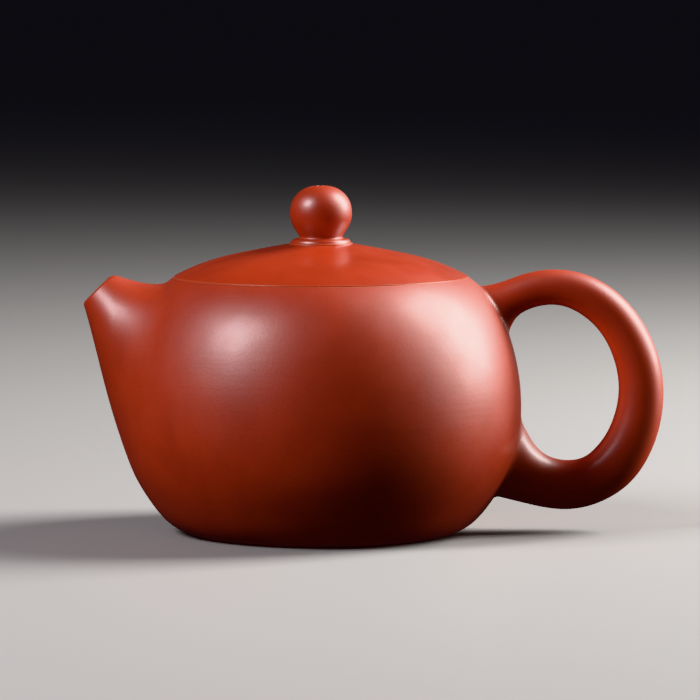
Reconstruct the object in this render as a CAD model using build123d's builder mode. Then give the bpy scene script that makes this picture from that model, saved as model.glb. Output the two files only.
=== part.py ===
from build123d import *

import os

# Round yixing clay teapot with a cut lid, a short spout drawn out of the belly and a reversed ear handle.
# The clay pieces are the ones a potter makes and lutes together: wall, base disc, mouth ring, strainer, spout
# and handle for the pot, and dome, flange, knob seat and knob for the lid, which lifts off.
# Frame: millimetres, +Z up, origin at the centre of the foot ring on the table, spout towards -X, handle towards +X.

# Outer outline of the pot, as (radius, height), from the outer edge of the foot ring to the seam under the lid.
POT_OUTLINE = [
    (27.6, 0.0),
    (33.9, 2.0),
    (38.7, 7.4),
    (43.0, 15.3),
    (45.1, 28.5),
    (43.65, 40.2),
    (39.8, 50.1),
    (33.1, 57.5),
]
SEAM_Z = 57.5
SEAM_ROUND = 0.15
WALL = 2.6
LINING_SAMPLES = 14

# Outer outline of the lid, carrying on from the pot's, and the underside of its dome.
LID_OUTLINE = [(33.1, 57.65), (28.5, 59.85), (22.0, 62.0), (14.5, 63.6), (7.0, 64.95), (1.4, 65.4)]
LID_ROUND = 0.1
LID_UNDERSIDE = [(1.4, 63.2), (7.0, 62.6), (14.5, 61.2), (22.0, 59.4), (26.1, 57.5)]

# Base disc, pressed in so that the pot stands on the foot ring around it.
FOOT_R = 24.5
DISC_LOW = 0.9
DISC_HIGH = 3.0
PRESS_DEPTH = 0.7
SEAL_SIDE = 12.0
SEAL_LINE = 0.7
SEAL_DEPTH = 0.35

# Mouth ring and the lid flange that drops into it.
MOUTH_R = 28.7
MOUTH_RING_R = 30.6
MOUTH_RING_LOW = 52.6
FLANGE_R = 28.45
FLANGE_WALL = 2.4
FLANGE_LOW = 51.8
LIP_ROUND = 0.5

# Knob and its seat.
SEAT_R = 7.15
SEAT_LOW = 64.4
SEAT_LIP = 65.15
SEAT_WAIST_R = 6.65
SEAT_WAIST_Z = 65.4
SEAT_TOP_R = 5.7
SEAT_TOP = 66.15
VENT_R = 0.9
VENT_WIDE_R = 1.4
# Outline of the knob from the seat up to the vent hole.
KNOB_OUTLINE = [
    (5.0, 66.15),
    (4.95, 66.8),
    (5.55, 68.0),
    (6.75, 70.2),
    (6.95, 72.2),
    (6.5, 74.4),
    (5.0, 76.5),
    (2.7, 77.75),
    (0.9, 78.0),
]

# Spout stations from the mouth to the root: top point and bottom point of the section as (x, z), and half width.
SPOUT_STATIONS = [
    ((-47.0, 58.05), (-53.5, 51.6), 4.7),
    ((-43.8, 57.1), (-52.2, 47.1), 6.7),
    ((-41.5, 56.3), (-50.9, 42.6), 8.7),
    ((-39.0, 55.7), (-49.5, 37.2), 11.1),
    ((-36.3, 55.3), (-47.7, 30.2), 14.3),
    ((-31.5, 54.3), (-42.8, 17.5), 19.0),
]
SPOUT_LIP_ROUND = 0.75
# Channel stations from inside the wall to beyond the mouth.
CHANNEL_STATIONS = [
    ((-37.0, 47.6), (-42.0, 36.0), 6.3),
    ((-39.8, 49.6), (-47.2, 39.9), 5.6),
    ((-42.2, 53.4), (-49.5, 47.3), 4.0),
    ((-47.8, 56.4), (-51.9, 52.3), 2.9),
    ((-49.3, 58.6), (-53.8, 54.1), 3.1),
]

# Ball strainer set in a round hole of the wall behind the spout.
STRAINER_SEAT = Plane(origin=(-41.4, 0, 42.6), x_dir=(0, 1, 0), z_dir=(-0.93, 0, 0.37))
STRAINER_R = 7.0
STRAINER_WALL = 1.3
STRAINER_RIM = 0.5
STRAINER_HOLE_R = 0.8
STRAINER_ROWS = [(0, 1), (22, 6), (44, 12), (65, 16)]

# Handle stations from the upper root to the lower one: outer point and inner point as (x, z), and half width.
HANDLE_STATIONS = [
    ((33.9, 54.5), (40.6, 43.4), 5.4),
    ((36.0, 55.3), (42.5, 45.8), 4.9),
    ((39.35, 56.0), (43.8, 48.1), 4.3),
    ((44.8, 57.85), (47.2, 50.35), 3.8),
    ((52.5, 59.15), (52.7, 51.2), 3.85),
    ((60.4, 57.7), (57.3, 49.8), 4.2),
    ((68.1, 52.7), (61.9, 46.2), 4.45),
    ((74.0, 44.5), (65.4, 40.5), 4.7),
    ((76.8, 36.0), (66.95, 34.6), 4.85),
    ((76.9, 26.9), (66.75, 28.7), 4.95),
    ((74.4, 18.0), (64.65, 22.6), 5.1),
    ((69.3, 10.6), (61.7, 18.6), 5.2),
    ((60.4, 5.7), (57.5, 16.2), 5.2),
    ((52.4, 5.1), (51.5, 16.9), 5.5),
    ((46.6, 6.2), (47.9, 20.0), 6.5),
    ((41.35, 7.5), (45.1, 24.85), 8.2),
    ((36.2, 8.6), (41.8, 28.0), 9.8),
]


def station_plane(first, second):
    """Plane of a section that stands across the XZ plane between two of its points."""
    start, end = Vector(first[0], 0, first[1]), Vector(second[0], 0, second[1])
    return Plane(origin=(start + end) / 2, x_dir=start - end, z_dir=(start - end).cross(Vector(0, 1, 0)))


def station_half(first, second):
    """Half the distance between the two points of a section."""
    return (Vector(*first) - Vector(*second)).length / 2


def inset_point(curve, position, depth):
    """Point at a depth under the curve, on its inner side."""
    along = curve % position
    return curve @ position + Vector(-along.Y, along.X) * depth


# Pot. The belly is the wall's outer form as one solid, which spout and handle are cut back to.
with BuildPart() as belly:
    with BuildSketch(Plane.XZ):
        with BuildLine():
            outline = Spline(*POT_OUTLINE)
            Polyline(outline @ 1, (0, SEAM_Z), (0, 0), outline @ 0)
        make_face()
    revolve(axis=Axis.Z)

with BuildPart() as body_wall:
    with BuildSketch(Plane.XZ):
        with BuildLine():
            outline = Spline(*POT_OUTLINE)
            inset = [inset_point(outline, i / LINING_SAMPLES, WALL) for i in range(1, LINING_SAMPLES)]
            lining = Spline((FOOT_R, DISC_HIGH), *inset, (MOUTH_RING_R, SEAM_Z - WALL / 2))
            Polyline(lining @ 1, (MOUTH_RING_R, SEAM_Z), outline @ 1)
            Polyline(outline @ 0, (FOOT_R, 0), lining @ 0)
        make_face()
    revolve(axis=Axis.Z)
    fillet(edges().filter_by(GeomType.CIRCLE).group_by(Axis.Z)[-1].sort_by(SortBy.RADIUS)[-1], SEAM_ROUND)
    with Locations(STRAINER_SEAT):
        Cylinder(STRAINER_R, WALL * 4, mode=Mode.SUBTRACT)
body_wall.part.label = "body_wall"

with BuildPart() as base_disc:
    with BuildSketch(Plane.XZ):
        with BuildLine():
            Polyline((0, DISC_LOW + PRESS_DEPTH), (0, DISC_HIGH), (FOOT_R, DISC_HIGH), (FOOT_R, DISC_LOW))
            Spline((FOOT_R, DISC_LOW), (FOOT_R / 2, DISC_LOW + PRESS_DEPTH * 0.8), (0, DISC_LOW + PRESS_DEPTH))
        make_face()
    revolve(axis=Axis.Z)
    with BuildSketch(Plane.XY):
        Rectangle(SEAL_SIDE, SEAL_SIDE)
        Rectangle(SEAL_SIDE - 2 * SEAL_LINE, SEAL_SIDE - 2 * SEAL_LINE, mode=Mode.SUBTRACT)
    extrude(amount=DISC_LOW + PRESS_DEPTH + SEAL_DEPTH, mode=Mode.SUBTRACT)
base_disc.part.label = "base_disc"

with BuildPart() as mouth_ring:
    with BuildSketch(Plane.XZ):
        Polygon(
            (MOUTH_R, MOUTH_RING_LOW),
            (MOUTH_RING_R + 0.6, MOUTH_RING_LOW),
            (MOUTH_RING_R + 3.6, MOUTH_RING_LOW + 1.2),
            (MOUTH_RING_R + 1.4, SEAM_Z - 1.5),
            (MOUTH_RING_R, SEAM_Z),
            (MOUTH_R, SEAM_Z),
            align=None,
        )
    revolve(axis=Axis.Z)
    add(body_wall.part, mode=Mode.SUBTRACT)
mouth_ring.part.label = "mouth_ring"

with BuildPart() as strainer:
    with Locations(STRAINER_SEAT):
        Sphere(STRAINER_R)
        Cylinder(STRAINER_R, STRAINER_RIM, align=(Align.CENTER, Align.CENTER, Align.MIN))
        Sphere(STRAINER_R - STRAINER_WALL, mode=Mode.SUBTRACT)
        Cylinder(
            STRAINER_R - STRAINER_WALL,
            2 * STRAINER_R,
            align=(Align.CENTER, Align.CENTER, Align.MIN),
            mode=Mode.SUBTRACT,
        )
    split(bisect_by=STRAINER_SEAT.offset(STRAINER_RIM), keep=Keep.BOTTOM)
    for tilt, count in STRAINER_ROWS:
        for i in range(count):
            ray = STRAINER_SEAT * Location((0, 0, 0), (0, 0, i * 360 / count)) * Location((0, 0, 0), (180 - tilt, 0, 0))
            with Locations(ray):
                Cylinder(
                    STRAINER_HOLE_R,
                    2 * STRAINER_R,
                    align=(Align.CENTER, Align.CENTER, Align.MIN),
                    mode=Mode.SUBTRACT,
                )
strainer.part.label = "strainer"

with BuildPart() as channel:
    for top, bottom, half_width in CHANNEL_STATIONS:
        with BuildSketch(station_plane(top, bottom)):
            Ellipse(station_half(top, bottom), half_width)
    loft()

with BuildPart() as spout:
    for top, bottom, half_width in SPOUT_STATIONS:
        with BuildSketch(station_plane(top, bottom)):
            Ellipse(station_half(top, bottom), half_width)
    loft()
    add(belly.part, mode=Mode.SUBTRACT)
    add(channel.part, mode=Mode.SUBTRACT)
    fillet(faces().sort_by(Axis((0, 0, 0), (-1, 0, 1)))[-1].edges(), SPOUT_LIP_ROUND)
spout.part.label = "spout"

with BuildPart() as handle:
    for outer, inner, half_width in HANDLE_STATIONS:
        with BuildSketch(station_plane(outer, inner)):
            Ellipse(station_half(outer, inner), half_width)
    loft()
    add(belly.part, mode=Mode.SUBTRACT)
handle.part.label = "handle"

# Lid.
with BuildPart() as lid_dome:
    with BuildSketch(Plane.XZ):
        with BuildLine():
            crown = Spline(*LID_OUTLINE)
            ceiling = Spline(*LID_UNDERSIDE)
            Line(crown @ 1, ceiling @ 0)
            Polyline(ceiling @ 1, (LID_OUTLINE[0][0], SEAM_Z), crown @ 0)
        make_face()
    revolve(axis=Axis.Z)
    fillet(edges().filter_by(GeomType.CIRCLE).group_by(Axis.Z)[0].sort_by(SortBy.RADIUS)[-1], LID_ROUND)
lid_dome.part.label = "lid_dome"

with BuildPart() as lid_flange:
    with Locations((0, 0, SEAM_Z)):
        Cylinder(FLANGE_R, SEAM_Z - FLANGE_LOW, align=(Align.CENTER, Align.CENTER, Align.MAX))
        Cylinder(
            FLANGE_R - FLANGE_WALL,
            SEAM_Z - FLANGE_LOW,
            align=(Align.CENTER, Align.CENTER, Align.MAX),
            mode=Mode.SUBTRACT,
        )
    fillet(edges().filter_by(GeomType.CIRCLE).group_by(Axis.Z)[0], LIP_ROUND)
lid_flange.part.label = "lid_flange"

with BuildPart() as knob_seat:
    with BuildSketch(Plane.XZ):
        with BuildLine():
            Polyline((VENT_WIDE_R, SEAT_TOP), (VENT_WIDE_R, SEAT_LOW), (SEAT_R, SEAT_LOW), (SEAT_R, SEAT_LIP))
            RadiusArc((SEAT_R, SEAT_LIP), (SEAT_WAIST_R, SEAT_WAIST_Z), 0.5)
            RadiusArc((SEAT_WAIST_R, SEAT_WAIST_Z), (SEAT_TOP_R, SEAT_TOP), -1.0)
            Line((SEAT_TOP_R, SEAT_TOP), (VENT_WIDE_R, SEAT_TOP))
        make_face()
    revolve(axis=Axis.Z)
    add(lid_dome.part, mode=Mode.SUBTRACT)
knob_seat.part.label = "knob_seat"

with BuildPart() as knob:
    with BuildSketch(Plane.XZ):
        with BuildLine():
            ball = Spline(*KNOB_OUTLINE)
            Polyline(ball @ 1, (VENT_R, SEAT_TOP), ball @ 0)
        make_face()
    revolve(axis=Axis.Z)
knob.part.label = "knob"

PIECES = [
    body_wall,
    base_disc,
    mouth_ring,
    strainer,
    spout,
    handle,
    lid_dome,
    lid_flange,
    knob_seat,
    knob,
]
os.makedirs("parts", exist_ok=True)
for piece in PIECES:
    export_step(piece.part, f"parts/{piece.part.label}.step")
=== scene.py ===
"""Looks of a small round yixing clay teapot: smooth turned clay pieces, a spout and a handle that melt into
the belly, burnished orange-red clay, and two softboxes in a plain studio. Lengths are in millimetres until a
mesh is made. The frame is the CAD model's: +Z up, foot on the table, spout towards -X, handle towards +X."""

import math

import bmesh
import bpy
import numpy as np
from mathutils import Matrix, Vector


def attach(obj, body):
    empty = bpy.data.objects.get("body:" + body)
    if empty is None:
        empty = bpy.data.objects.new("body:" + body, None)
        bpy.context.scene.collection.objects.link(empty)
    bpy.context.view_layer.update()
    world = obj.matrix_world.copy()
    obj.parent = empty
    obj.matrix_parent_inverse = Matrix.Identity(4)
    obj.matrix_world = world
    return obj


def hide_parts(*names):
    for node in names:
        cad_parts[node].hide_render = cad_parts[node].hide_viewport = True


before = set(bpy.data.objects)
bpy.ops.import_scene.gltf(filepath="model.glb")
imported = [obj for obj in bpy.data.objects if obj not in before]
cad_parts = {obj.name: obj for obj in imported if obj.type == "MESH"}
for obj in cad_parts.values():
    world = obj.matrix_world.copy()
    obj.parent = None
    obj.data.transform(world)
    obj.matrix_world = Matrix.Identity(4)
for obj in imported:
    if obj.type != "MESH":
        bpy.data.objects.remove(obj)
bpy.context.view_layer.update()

MM = 0.001
# How finely turned pieces are meshed round their axis, and the edge angle above which shading breaks.
SEGMENTS = 360
SHARP_DEGREES = 40
CAD_SHARP_DEGREES = 30

# Outlines as (radius, height). The pot's and the lid's have the driving points of the CAD model, and the
# knob's is drawn a little fuller below and tighter at the neck.
POT_OUTLINE = [
    (27.6, 0.0),
    (33.9, 2.0),
    (38.7, 7.4),
    (43.0, 15.3),
    (45.1, 28.5),
    (43.65, 40.2),
    (39.8, 50.1),
    (33.1, 57.5),
]
LID_OUTLINE = [(33.1, 57.65), (28.5, 59.85), (22.0, 62.0), (14.5, 63.6), (7.0, 64.95), (1.4, 65.4)]
LID_UNDERSIDE = [(1.4, 63.2), (7.0, 62.6), (14.5, 61.2), (22.0, 59.4), (26.1, 57.5)]
KNOB_OUTLINE = [
    (5.1, 66.15),
    (4.86, 66.5),
    (5.12, 67.1),
    (5.72, 68.05),
    (6.72, 70.1),
    (6.95, 72.2),
    (6.5, 74.4),
    (5.0, 76.5),
    (2.7, 77.75),
    (0.9, 78.0),
]
SEAM_Z = 57.5
WALL = 2.6
FOOT_R = 24.5
FOOT_FLAT_R = 27.0
DISC_HIGH = 3.0
MOUTH_R = 28.7
MOUTH_RING_R = 30.6
MOUTH_RING_LOW = 52.6
FLANGE_R = 28.45
FLANGE_WALL = 2.4
FLANGE_LOW = 51.8
SEAT_R = 7.15
SEAT_LOW = 64.4
SEAT_LIP = 65.15
SEAT_WAIST_R = 6.65
SEAT_WAIST_Z = 65.4
SEAT_TOP_R = 5.7
SEAT_TOP = 66.15
VENT_R = 0.9
VENT_WIDE_R = 1.4

# The handle's stations from its upper root to its lower one, as (outer point, inner point, half width). The
# points are (x, z), and the first and the last stations lie inside the belly.
HANDLE_STATIONS = [
    ((33.9, 54.5), (40.6, 43.4), 5.4),
    ((36.0, 55.3), (42.5, 45.8), 4.9),
    ((39.35, 56.0), (43.8, 48.1), 4.3),
    ((44.8, 57.85), (47.2, 50.35), 3.8),
    ((52.5, 59.15), (52.7, 51.2), 3.85),
    ((60.4, 57.7), (57.3, 49.8), 4.2),
    ((68.1, 52.7), (61.9, 46.2), 4.45),
    ((74.0, 44.5), (65.4, 40.5), 4.7),
    ((76.8, 36.0), (66.95, 34.6), 4.85),
    ((76.9, 26.9), (66.75, 28.7), 4.95),
    ((74.4, 18.0), (64.65, 22.6), 5.1),
    ((69.3, 10.6), (61.7, 18.6), 5.2),
    ((60.4, 5.7), (57.5, 16.2), 5.2),
    ((52.4, 5.1), (51.5, 16.9), 5.5),
    ((46.6, 6.2), (47.9, 20.0), 6.5),
    ((41.35, 7.5), (45.1, 24.85), 8.2),
    ((36.2, 8.6), (41.8, 28.0), 9.8),
]
HANDLE_AROUND = 96
# The spout as the plain cone that its root is blended from, and its channel, both from the mouth inwards, as
# (top point, bottom point, half width).
SPOUT_CONE = [
    ((-47.0, 58.05), (-53.5, 51.65), 4.7),
    ((-41.2, 56.3), (-50.7, 41.2), 10.0),
    ((-36.2, 54.8), (-47.0, 27.0), 14.8),
    ((-31.2, 53.3), (-41.4, 12.0), 18.6),
]
SPOUT_CHANNEL = [
    ((-48.2, 56.85), (-52.3, 52.85), 2.9),
    ((-42.2, 53.4), (-49.5, 47.3), 4.0),
    ((-39.8, 49.6), (-47.2, 39.9), 5.6),
    ((-37.0, 47.6), (-42.0, 36.0), 6.3),
]
SPOUT_AROUND = 144
# The channel: how far its edge is rounded at the mouth, and how deep inside the belly it ends.
BORE_ROUND = 0.45
BORE_DEPTH = 1.3
# Where a tube melts into the belly: how far below the seam the blend stays, the shares of that room that
# its landing and its apron may take, and how strongly it follows the tube and the belly at its two ends.
SEAM_MARGIN = 0.4
SPREAD_SHARE = 0.75
APRON_SHARE = 0.2
BLEND_PULL = 0.62
# The round hole in the wall that the strainer sits in: its middle, its axis and its radius.
STRAINER_PLACE = (-41.4, 0.0, 42.6)
STRAINER_AXIS = (-0.93, 0.0, 0.37)
STRAINER_R = 7.0

# The studio: half the floor's side and the lights' distance in metres, the rest in millimetres. The camera was
# fitted to the seam, the foot and the outline in the photograph.
FLOOR_HALF = 40.0
LIGHTS_AWAY = 0.9
LIGHTS_AIM = (0.0, 0.0, 40.0)
CAMERA_PLACE = (6.53, -1032.23, 126.06)
CAMERA_AIM = (6.53, 0.0, 40.98)
CAMERA_LENS = 236.5


def smooth_curve(points, count):
    """Evenly spaced samples of the cubic spline through the points: chord-length knots, not-a-knot ends."""
    points = np.array(points, float)
    knots = np.concatenate([[0], np.cumsum(np.linalg.norm(np.diff(points, axis=0), axis=1))])
    gaps = np.diff(knots)
    last = len(points) - 1
    matrix = np.zeros((last + 1, last + 1))
    rhs = np.zeros_like(points)
    for i in range(1, last):
        matrix[i, i - 1 : i + 2] = gaps[i - 1], 2 * (gaps[i - 1] + gaps[i]), gaps[i]
        rhs[i] = 6 * ((points[i + 1] - points[i]) / gaps[i] - (points[i] - points[i - 1]) / gaps[i - 1])
    matrix[0, :3] = 1 / gaps[0], -1 / gaps[0] - 1 / gaps[1], 1 / gaps[1]
    matrix[last, -3:] = 1 / gaps[-2], -1 / gaps[-2] - 1 / gaps[-1], 1 / gaps[-1]
    bends = np.linalg.solve(matrix, rhs)
    at = np.linspace(0, knots[-1], count)
    i = np.clip(np.searchsorted(knots, at, side="right") - 1, 0, last - 1)
    gap = gaps[i][:, None]
    left = knots[i + 1][:, None] - at[:, None]
    right = at[:, None] - knots[i][:, None]
    cubic = (bends[i] * left**3 + bends[i + 1] * right**3) / (6 * gap)
    before = (points[i] / gap - bends[i] * gap / 6) * left
    after = (points[i + 1] / gap - bends[i + 1] * gap / 6) * right
    return cubic + before + after


def soften(corners, steps=6):
    """An outline of (x, y, setback) corners with each corner rounded off over its setback."""
    outline = []
    for i, (x, y, setback) in enumerate(corners):
        here = np.array([x, y], float)
        if setback == 0 or i in (0, len(corners) - 1):
            outline.append(here)
            continue
        before = np.array(corners[i - 1][:2], float) - here
        after = np.array(corners[i + 1][:2], float) - here
        start = here + before / np.linalg.norm(before) * min(setback, np.linalg.norm(before) / 2)
        end = here + after / np.linalg.norm(after) * min(setback, np.linalg.norm(after) / 2)
        for k in range(steps + 1):
            t = k / steps
            outline.append(start * (1 - t) ** 2 + here * 2 * t * (1 - t) + end * t**2)
    return np.array(outline)


def with_setback(points, setback=0.0):
    """Plain outline points as corners for soften()."""
    return [(x, y, setback) for x, y in points]


def mesh_object(name, vertices, faces, attributes=None):
    """A smooth-shaded mesh object from points in millimetres, with optional per-point attributes."""
    mesh = bpy.data.meshes.new(name)
    mesh.from_pydata((np.array(vertices) * MM).tolist(), [], faces)
    shell = bmesh.new()
    shell.from_mesh(mesh)
    bmesh.ops.recalc_face_normals(shell, faces=shell.faces)
    shell.to_mesh(mesh)
    shell.free()
    for key, values in (attributes or {}).items():
        layer = mesh.attributes.new(key, "FLOAT", "POINT")
        layer.data.foreach_set("value", np.array(values, np.float32))
    mesh.shade_smooth()
    mesh.set_sharp_from_angle(angle=math.radians(SHARP_DEGREES))
    piece = bpy.data.objects.new(name, mesh)
    bpy.context.scene.collection.objects.link(piece)
    return piece


def ring_faces(rings, around, closed_rows=False):
    """Quads between rings of points, each ring closed round; the last ring joins the first if closed_rows."""
    faces = []
    for i in range(rings if closed_rows else rings - 1):
        low, high = i * around, (i + 1) % rings * around
        for j in range(around):
            k = (j + 1) % around
            faces.append((low + j, low + k, high + k, high + j))
    return faces


def lathe(name, outline, raw=None, wear_and_edge_highlight=None, polish=0.0):
    """A turned piece: the closed (radius, height) outline swept round Z. raw marks unburnished points of the
    outline, wear marks rubbed edges and edges given a painted highlight, and polish says how glossy hands have
    made the piece (all 0 to 1)."""
    outline = np.array(outline, float)
    turn = np.linspace(0, 2 * math.pi, SEGMENTS, endpoint=False)
    vertices = []
    for radius, height in outline:
        vertices += [(radius * math.cos(a), radius * math.sin(a), height) for a in turn]
    attributes = {}
    for key, values in (("raw", raw), ("wear_and_edge_highlight", wear_and_edge_highlight)):
        per_ring = np.zeros(len(outline)) if values is None else np.array(values, float)
        attributes[key] = np.repeat(per_ring, SEGMENTS)
    attributes["polish"] = np.full(len(vertices), polish)
    return mesh_object(name, vertices, ring_faces(len(outline), SEGMENTS, closed_rows=True), attributes)


# The belly as a table of radius against height, for the pieces that grow out of it. It starts a little way
# up, where the height grows steadily.
BELLY = smooth_curve(POT_OUTLINE, 4000)[60:]


def belly_radius(height):
    """Outer radius of the belly at a height."""
    return np.interp(height, BELLY[:, 1], BELLY[:, 0])


def belly_slope(height, step=0.05):
    """How fast the belly's radius grows with height."""
    return (belly_radius(height + step) - belly_radius(height - step)) / (2 * step)


def belly_normal(points):
    """Outward unit normals of the belly at the heights and bearings of the given points."""
    points = np.atleast_2d(points)
    around = np.hypot(points[:, 0], points[:, 1])
    normal = np.column_stack([points[:, 0] / around, points[:, 1] / around, -belly_slope(points[:, 2])])
    return normal / np.linalg.norm(normal, axis=1)[:, None]


def onto_belly(points, lift=0.0):
    """Points moved along their normals onto the belly, or a lift above it."""
    points = np.atleast_2d(points).astype(float)
    for _ in range(4):
        normal = belly_normal(points)
        radius = belly_radius(points[:, 2])
        slope = belly_slope(points[:, 2])
        gap = (np.hypot(points[:, 0], points[:, 1]) - radius) / np.sqrt(1 + slope**2)
        points = points - normal * (gap - lift)[:, None]
    return points


def inside_belly(points):
    """How deep points lie inside the belly, negative outside."""
    return belly_radius(points[:, 2]) - np.hypot(points[:, 0], points[:, 1])


def station_rings(stations, count, around):
    """Elliptical rings that pass smoothly through the stations."""
    table = smooth_curve([(*first, *second, half_width) for first, second, half_width in stations], count)
    turn = np.linspace(0, 2 * math.pi, around, endpoint=False)
    rings = np.zeros((count, around, 3))
    for axis, column in ((0, 0), (2, 1)):
        first, second = table[:, column, None], table[:, column + 2, None]
        rings[:, :, axis] = (first + second) / 2 + (first - second) / 2 * np.cos(turn)
    rings[:, :, 1] = table[:, 4, None] * np.sin(turn)
    return rings


def by_side(around, first, sides, second):
    """A value for each point of a ring, given at the first point, at both sides and at the second point."""
    turn = np.linspace(0, 2 * math.pi, around, endpoint=False)
    return np.where(np.cos(turn) > 0, first, second) * np.cos(turn) ** 2 + sides * np.sin(turn) ** 2


def unit(vectors):
    """Vectors scaled to length 1."""
    return vectors / np.linalg.norm(vectors, axis=-1, keepdims=True)


def resample(line, along):
    """Points of a polyline at the given distances from its start."""
    run = np.concatenate([[0], np.cumsum(np.linalg.norm(np.diff(line, axis=0), axis=1))])
    return np.column_stack([np.interp(along, run, line[:, k]) for k in range(3)])


def cut_line(line, depth):
    """The line up to the point where it first lies at a depth inside the belly, and its length."""
    deep = inside_belly(line) - depth
    first = int(np.argmax(deep > 0))
    share = -deep[first - 1] / (deep[first] - deep[first - 1])
    end = line[first - 1] + (line[first] - line[first - 1]) * share
    kept = np.vstack([line[:first], end])
    return kept, np.linalg.norm(np.diff(kept, axis=0), axis=1).sum()


def rooted_tube(rings, set_back, spread, apron, lead=None, rows=60, blend_rows=16):
    """Carries a tube's rings into the belly. rings[i, j] is point j of ring i, and the last rings lie inside
    the belly. Each lengthwise line starts at lead[j], is cut back by set_back[j] before it meets the belly
    and eases over onto it within spread[j], then follows it for apron[j] and dips just below its surface."""
    lines = [cut_line(rings[:, j], 0.0) for j in range(rings.shape[1])]
    lead = np.zeros(len(lines)) if lead is None else lead
    meets = np.array([line[-1] for line, _ in lines])
    normal = belly_normal(meets)
    outward = unit(np.cross(np.roll(meets, -1, axis=0) - np.roll(meets, 1, axis=0), normal))
    if np.sum(outward * (meets - meets.mean(axis=0))) < 0:
        outward = -outward
    room = (SEAM_Z - SEAM_MARGIN - meets[:, 2]) / np.maximum(outward[:, 2], 0.05)
    spread = np.minimum(spread, SPREAD_SHARE * room)[:, None]
    apron = np.minimum(apron, APRON_SHARE * room)[:, None]
    tube = np.zeros((rows, len(lines), 3))
    arrive = np.zeros_like(meets)
    short = 0.3
    for j, (line, length) in enumerate(lines):
        stop = length - set_back[j]
        tube[:, j] = resample(line, np.linspace(lead[j], stop, rows))
        arrive[j] = np.diff(resample(line, [stop - short, stop]), axis=0)[0]
    starts, arrive = tube[-1], unit(arrive)
    landing = onto_belly(meets + outward * spread)
    leave = unit(landing - onto_belly(meets + outward * (spread - short)))
    reach = starts + arrive * np.linalg.norm(meets - starts, axis=1)[:, None] * BLEND_PULL
    pull = landing - leave * np.linalg.norm(landing - meets, axis=1)[:, None] * BLEND_PULL
    blend = []
    for t in np.linspace(0, 1, blend_rows + 1)[1:]:
        leaving = starts * (1 - t) ** 3 + 3 * reach * t * (1 - t) ** 2
        blend.append(leaving + 3 * pull * t**2 * (1 - t) + landing * t**3)
    # The edge thins out on the belly and ends just under it, so that no step shows.
    blend[-1] = onto_belly(landing, 0.012)
    for share, lift in ((0.4, 0.008), (0.75, 0.0), (1.0, -0.03)):
        blend.append(onto_belly(meets + outward * (spread + apron * share), lift))
    return np.concatenate([tube, np.array(blend)])


# ---------------------------------------------------------------- pieces

def finish_piece(piece, body, node):
    """Gives a piece its body and the clay, and hides the CAD node it stands for."""
    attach(piece, body)
    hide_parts(node)
    piece.data.materials.append(clay)


def cut_hole(piece, place, axis, radius, depth=8.0, around=96):
    """Cuts a round hole into a piece's mesh, reaching a depth to both sides of its middle."""
    turn = np.linspace(0, 2 * math.pi, around, endpoint=False)
    up = Vector(axis).to_track_quat("Z", "Y")
    rings = [(radius * math.cos(a), radius * math.sin(a), side * depth) for side in (-1, 1) for a in turn]
    vertices = [Vector(place) + up @ Vector(point) for point in rings]
    faces = ring_faces(2, around) + [tuple(range(around)), tuple(range(around, 2 * around))]
    cutter = mesh_object("cutter", vertices, faces)
    cut = piece.modifiers.new("hole", "BOOLEAN")
    cut.operation = "DIFFERENCE"
    cut.object = cutter
    evaluated = piece.evaluated_get(bpy.context.evaluated_depsgraph_get())
    piece.data = bpy.data.meshes.new_from_object(evaluated)
    piece.modifiers.clear()
    bpy.data.objects.remove(cutter)
    piece.data.set_sharp_from_angle(angle=math.radians(SHARP_DEGREES))


def body_wall():
    """The belly: burnished outside, scraped inside, with a softened rim and the strainer's hole."""
    outside = smooth_curve(POT_OUTLINE, 240)
    outside[:, 1] = np.maximum(outside[:, 1], 0)
    inward = smooth_curve(POT_OUTLINE, 60)
    along = unit(np.gradient(inward, axis=0))
    # The lining stops short of the outline's two ends, where the base disc and the mouth ring are.
    lining = (inward + np.column_stack([-along[:, 1], along[:, 0]]) * WALL)[5:-3][::-1]
    corners = with_setback(outside[:-1])
    corners += [(*outside[-1], 0.07), (MOUTH_RING_R, SEAM_Z, 0), (MOUTH_RING_R, lining[0][1], 0)]
    inner_from = len(soften(corners))
    corners += with_setback(lining)
    corners += [(FOOT_R, DISC_HIGH, 0), (FOOT_R, 0.0, 0.5), (FOOT_FLAT_R, 0.0, 0)]
    outline = soften(corners)
    raw = np.zeros(len(outline))
    raw[inner_from:-1] = 1
    # The rim's rounded edge at the seam is lightened: partly rubbing, partly a painted highlight of light
    # caught on the edge.
    wear_and_edge_highlight = np.hypot(outline[:, 0] - outside[-1][0], outline[:, 1] - SEAM_Z) < 0.2
    wall = lathe("body_wall_clay", outline, raw, wear_and_edge_highlight)
    cut_hole(wall, STRAINER_PLACE, STRAINER_AXIS, STRAINER_R)
    finish_piece(wall, "pot", "body_wall")


def lid_dome():
    """The lid's dome, flush with the body at its rim, and the vent hole up its middle."""
    top = smooth_curve(LID_OUTLINE, 110)
    under = smooth_curve(LID_UNDERSIDE, 40)
    corners = with_setback(top[::-1][:-1])
    corners += [(*top[0], 0.05), (LID_OUTLINE[0][0], SEAM_Z, 0.03), (under[-1][0], SEAM_Z, 0)]
    outer_to = len(soften(corners))
    corners += with_setback(under[::-1][1:])
    outline = soften(corners)
    raw = np.zeros(len(outline))
    raw[outer_to:] = 1
    # The dome's lower edge at the seam is lightened: partly rubbing, partly a painted highlight of light
    # caught on the edge.
    wear_and_edge_highlight = (np.abs(outline[:, 0] - LID_OUTLINE[0][0]) < 0.06) & (outline[:, 1] < SEAM_Z + 0.2)
    finish_piece(lathe("lid_dome_clay", outline, raw, wear_and_edge_highlight, polish=0.7), "lid", "lid_dome")


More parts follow.
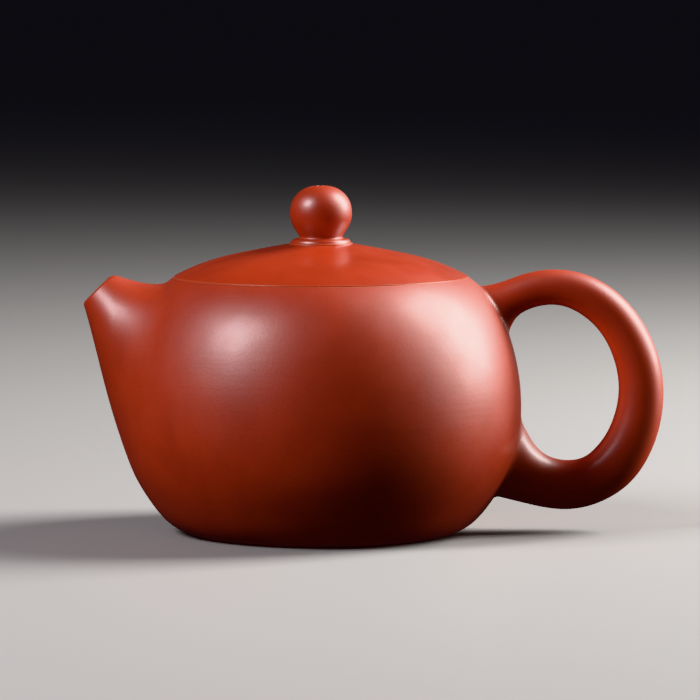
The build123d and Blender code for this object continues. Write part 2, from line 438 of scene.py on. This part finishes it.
def knob():
    """The ball knob: slightly flattened, with a short waist, and the vent hole through it."""
    ball = smooth_curve(KNOB_OUTLINE, 140)
    corners = [(VENT_R, SEAT_TOP, 0)] + with_setback(ball[:-1])
    corners += [(*ball[-1], 0.3), (VENT_R, KNOB_OUTLINE[-1][1] - 2.5, 0)]
    finish_piece(lathe("knob_clay", soften(corners), polish=0.3), "lid", "knob")


def knob_seat():
    """The ring between dome and knob: a fine lip, a groove and a rounded top."""
    cove = [(SEAT_R - 0.3, SEAT_LIP + 0.06), (SEAT_R - 0.44, SEAT_LIP + 0.14)]
    tier = [(SEAT_WAIST_R - 0.14, SEAT_WAIST_Z + 0.35), (SEAT_WAIST_R - 0.45, SEAT_WAIST_Z + 0.63)]
    corners = with_setback([(VENT_WIDE_R, SEAT_TOP), (VENT_WIDE_R, SEAT_LOW), (SEAT_R, SEAT_LOW)])
    corners += [(SEAT_R, SEAT_LIP, 0.08)] + with_setback(cove, 0.08)
    corners += [(SEAT_WAIST_R, SEAT_WAIST_Z, 0)] + with_setback(tier, 0.2)
    corners += [(SEAT_TOP_R, SEAT_TOP, 0.2)]
    outline = soften(corners)
    # The seat's lip is lightened: partly rubbing, partly a painted highlight on its edge.
    wear_and_edge_highlight = (outline[:, 0] > SEAT_R - 0.3) & (outline[:, 1] > SEAT_LOW + 0.3)
    seat = lathe("knob_seat_clay", outline, wear_and_edge_highlight=wear_and_edge_highlight * 0.7, polish=0.5)
    finish_piece(seat, "lid", "knob_seat")


def lid_flange():
    """The ring under the dome that drops into the mouth."""
    inner = FLANGE_R - FLANGE_WALL
    lower_edge = with_setback([(FLANGE_R, FLANGE_LOW), (inner, FLANGE_LOW)], 0.6)
    outline = soften([(FLANGE_R, SEAM_Z, 0)] + lower_edge + [(inner, SEAM_Z, 0)])
    flange = lathe("lid_flange_clay", outline, raw=np.full(len(outline), 0.6))
    finish_piece(flange, "lid", "lid_flange")


def mouth_ring():
    """The ring inside the mouth that the flange drops into."""
    top = SEAM_Z - 0.02
    corners = [(MOUTH_RING_R, top, 0), (MOUTH_R, top, 0.3), (MOUTH_R, MOUTH_RING_LOW, 0.5)]
    corners += [(MOUTH_RING_R + 0.6, MOUTH_RING_LOW, 0.8), (MOUTH_RING_R + 3.4, MOUTH_RING_LOW + 1.0, 0)]
    corners += [(MOUTH_RING_R + 1.2, SEAM_Z - 2.5, 0), (MOUTH_RING_R, SEAM_Z - 1.5, 0)]
    outline = soften(corners)
    ring = lathe("mouth_ring_clay", outline, raw=np.full(len(outline), 0.7))
    finish_piece(ring, "pot", "mouth_ring")


def handle():
    """The ear handle: a round strap of clay, with a tight bead at its upper root and a wider lower one."""
    rings = station_rings(HANDLE_STATIONS, 300, HANDLE_AROUND)
    half = len(rings) // 2
    lower_back = by_side(HANDLE_AROUND, 1.1, 1.6, 1.8)
    lower_apron = np.full(HANDLE_AROUND, 1.2)
    lower = rooted_tube(rings[half:], lower_back, lower_back, lower_apron, rows=110)
    upper_back = by_side(HANDLE_AROUND, 0.9, 1.1, 1.3)
    upper_apron = np.full(HANDLE_AROUND, 0.8)
    upper = rooted_tube(rings[half::-1], upper_back, upper_back, upper_apron, rows=110, blend_rows=10)
    whole = np.concatenate([upper[::-1], lower[1:]])
    faces = ring_faces(len(whole), HANDLE_AROUND)
    last = (len(whole) - 1) * HANDLE_AROUND
    vertices = np.vstack([whole.reshape(-1, 3), whole[0].mean(axis=0), whole[-1].mean(axis=0)])
    for j in range(HANDLE_AROUND):
        k = (j + 1) % HANDLE_AROUND
        faces += [(len(vertices) - 2, k, j), (len(vertices) - 1, last + j, last + k)]
    finish_piece(mesh_object("handle_clay", vertices, faces), "pot", "handle")


def spout():
    """The spout: a short cone that melts into the belly, with a rounded lip and its channel to the wall."""
    cone = station_rings(SPOUT_CONE, 160, SPOUT_AROUND)
    set_back = by_side(SPOUT_AROUND, 7.5, 12.5, 7.0)
    spread = by_side(SPOUT_AROUND, 3.0, 9.5, 5.0)
    lip_round = by_side(SPOUT_AROUND, 1.1, 0.4, 0.6)
    outside = rooted_tube(cone, set_back, spread, np.full(SPOUT_AROUND, 3.0), lead=lip_round, blend_rows=30)
    channel = station_rings(SPOUT_CHANNEL, 80, SPOUT_AROUND)
    bore = np.zeros((24, SPOUT_AROUND, 3))
    for j in range(SPOUT_AROUND):
        line, length = cut_line(channel[:, j], BORE_DEPTH)
        bore[:, j] = resample(line, np.linspace(BORE_ROUND, length, 24))
    centre = cone[0].mean(axis=0)
    inward = unit(centre - cone[0])
    down_wall, down_bore = unit(outside[0] - cone[0]), unit(bore[0] - channel[0])
    lip = []
    for a in np.radians(np.linspace(90, 0, 8))[:-1]:
        lip.append(channel[0] + (down_bore * (1 - math.cos(a)) - inward * (1 - math.sin(a))) * BORE_ROUND)
    for a in np.radians(np.linspace(90, 0, 10))[:-1]:
        step = down_wall * (1 - math.sin(a)) + inward * (1 - math.cos(a))
        lip.append(cone[0] + step * lip_round[:, None])
    whole = np.concatenate([bore[::-1][:-1], np.array(lip), outside])
    faces = ring_faces(len(whole), SPOUT_AROUND, closed_rows=True)
    finish_piece(mesh_object("spout_clay", whole.reshape(-1, 3), faces), "pot", "spout")


# ---------------------------------------------------------------- material

def clay_material():
    """Burnished red clay. The point attribute raw turns it to scraped clay, wear lightens rubbed edges and
    paints a highlight where rounded edges catch the light, and polish makes it glossier."""
    material = bpy.data.materials.new("zhuni_clay")
    material.use_nodes = True
    tree = material.node_tree
    nodes, links = tree.nodes, tree.links
    shader = nodes["Principled BSDF"]
    place = nodes.new("ShaderNodeTexCoord")

    def noise(scale, detail=3.0, roughness=0.5, stretch=None):
        texture = nodes.new("ShaderNodeTexNoise")
        texture.inputs["Scale"].default_value = scale
        texture.inputs["Detail"].default_value = detail
        texture.inputs["Roughness"].default_value = roughness
        source = place.outputs["Object"]
        if stretch:
            mapping = nodes.new("ShaderNodeMapping")
            mapping.inputs["Scale"].default_value = stretch
            links.new(source, mapping.inputs["Vector"])
            source = mapping.outputs["Vector"]
        links.new(source, texture.inputs["Vector"])
        return texture.outputs["Fac"]

    def ramp(value, low, high, to_low, to_high):
        node = nodes.new("ShaderNodeMapRange")
        node.interpolation_type = "SMOOTHSTEP"
        for key, number in (("From Min", low), ("From Max", high), ("To Min", to_low), ("To Max", to_high)):
            node.inputs[key].default_value = number
        links.new(value, node.inputs["Value"])
        return node.outputs["Result"]

    def mix(factor, a, b):
        node = nodes.new("ShaderNodeMix")
        node.data_type = "RGBA"
        for socket, value in (("Factor", factor), ("A", a), ("B", b)):
            target = [s for s in node.inputs if s.name == socket and s.type in ("VALUE", "RGBA")]
            target = target[0] if socket == "Factor" else [s for s in target if s.type == "RGBA"][0]
            if isinstance(value, (tuple, float)):
                target.default_value = value
            else:
                links.new(value, target)
        return [s for s in node.outputs if s.type == "RGBA"][0]

    def multiply(value, by):
        node = nodes.new("ShaderNodeMath")
        node.operation = "MULTIPLY"
        links.new(value, node.inputs[0])
        if isinstance(by, float):
            node.inputs[1].default_value = by
        else:
            links.new(by, node.inputs[1])
        return node.outputs["Value"]

    def attribute(name):
        node = nodes.new("ShaderNodeAttribute")
        node.attribute_name = name
        return node.outputs["Fac"]

    def bump(height, strength, distance, before=None):
        node = nodes.new("ShaderNodeBump")
        node.inputs["Strength"].default_value = strength
        node.inputs["Distance"].default_value = distance
        links.new(height, node.inputs["Height"])
        if before:
            links.new(before, node.inputs["Normal"])
        return node.outputs["Normal"]

    base, deep = (0.44, 0.046, 0.014, 1), (0.38, 0.037, 0.011, 1)
    light, scraped = (0.60, 0.15, 0.075, 1), (0.38, 0.055, 0.02, 1)
    dark = (0.22, 0.03, 0.012, 1)
    # Broad shades of the firing, then fine light and dark grains.
    colour = mix(ramp(noise(70, 4), 0.35, 0.65, 0, 1), base, deep)
    colour = mix(ramp(noise(2600, 2), 0.60, 0.75, 0, 0.22), colour, light)
    colour = mix(ramp(noise(1900, 2), 0.62, 0.74, 0, 0.45), colour, dark)
    colour = mix(attribute("raw"), colour, scraped)
    # Rubbed edges are lightened; at the seam and the seat's lip this is partly a painted highlight.
    colour = mix(multiply(attribute("wear_and_edge_highlight"), 0.5), colour, light)
    links.new(colour, shader.inputs["Base Color"])
    rough = multiply(ramp(noise(160, 5), 0.3, 0.7, 0.50, 0.56), ramp(attribute("polish"), 0, 1, 1.0, 0.7))
    links.new(rough, shader.inputs["Roughness"])
    shader.inputs["Coat Weight"].default_value = 0.35
    links.new(ramp(attribute("polish"), 0, 1, 0.3, 0.22), shader.inputs["Coat Roughness"])
    shader.inputs["Coat IOR"].default_value = 1.6
    # Paddle undulation, turning lines round the axis, and grain.
    normal = bump(noise(60, 2), 0.25, 0.0004)
    normal = bump(noise(40, 4, stretch=(1, 1, 22)), 0.2, 0.00006, normal)
    normal = bump(noise(1500, 3), 0.25, 0.00006, normal)
    links.new(normal, shader.inputs["Normal"])
    links.new(normal, shader.inputs["Coat Normal"])
    shader.inputs["IOR"].default_value = 1.7
    shader.inputs["Specular IOR Level"].default_value = 0.6
    return material


def stage_and_light():
    """Pale floor, two softboxes, and a dim world; the camera stands low in front, with a long lens."""
    corners = [(x * FLOOR_HALF, y * FLOOR_HALF, 0) for x, y in ((-1, -1), (1, -1), (1, 1), (-1, 1))]
    floor = bpy.data.meshes.new("studio_floor")
    floor.from_pydata(corners, [], [(0, 1, 2, 3)])
    ground = bpy.data.objects.new("studio_floor", floor)
    bpy.context.scene.collection.objects.link(ground)
    pale = bpy.data.materials.new("pale_floor")
    pale.use_nodes = True
    shader = pale.node_tree.nodes["Principled BSDF"]
    shader.inputs["Base Color"].default_value = (0.36, 0.355, 0.35, 1)
    shader.inputs["Roughness"].default_value = 0.6
    floor.materials.append(pale)
    # The floor neither lights the pot from below nor shows in its gloss.
    ground.visible_diffuse = False
    ground.visible_glossy = False

    def softbox(name, azimuth, elevation, size, power, colour):
        light = bpy.data.lights.new(name, "AREA")
        light.shape = "RECTANGLE"
        light.size, light.size_y = size
        light.energy = power
        light.color = colour
        lamp = bpy.data.objects.new(name, light)
        a, e = math.radians(azimuth), math.radians(elevation)
        towards = Vector((math.sin(a) * math.cos(e), -math.cos(a) * math.cos(e), math.sin(e)))
        lamp.location = Vector(LIGHTS_AIM) * MM + towards * LIGHTS_AWAY
        lamp.rotation_euler = towards.to_track_quat("Z", "Y").to_euler()
        bpy.context.scene.collection.objects.link(lamp)

    softbox("softbox_left", azimuth=-60, elevation=36, size=(0.36, 0.4), power=7.5, colour=(1.0, 0.94, 0.98))
    softbox("softbox_right", azimuth=108, elevation=31, size=(0.44, 0.76), power=24, colour=(1.0, 0.98, 0.95))

    world = bpy.data.worlds.new("studio")
    world.use_nodes = True
    background = world.node_tree.nodes["Background"]
    background.inputs["Color"].default_value = (0.05, 0.05, 0.055, 1)
    background.inputs["Strength"].default_value = 1.0
    bpy.context.scene.world = world

    camera = bpy.data.cameras.new("camera")
    camera.lens = CAMERA_LENS
    camera.sensor_width = 36
    camera.clip_end = 50
    eye = bpy.data.objects.new("camera", camera)
    eye.location = Vector(CAMERA_PLACE) * MM
    eye.rotation_euler = (Vector(CAMERA_PLACE) - Vector(CAMERA_AIM)).to_track_quat("Z", "Y").to_euler()
    bpy.context.scene.collection.objects.link(eye)
    bpy.context.scene.camera = eye
    bpy.context.scene.view_settings.view_transform = "Khronos PBR Neutral"


clay = clay_material()
for make in (body_wall, lid_dome, knob, knob_seat, lid_flange, mouth_ring, handle, spout):
    make()
for node in ("base_disc", "strainer"):
    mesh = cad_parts[node].data
    mesh.materials.clear()
    mesh.materials.append(clay)
    mesh.shade_smooth()
    mesh.set_sharp_from_angle(angle=math.radians(CAD_SHARP_DEGREES))
stage_and_light()
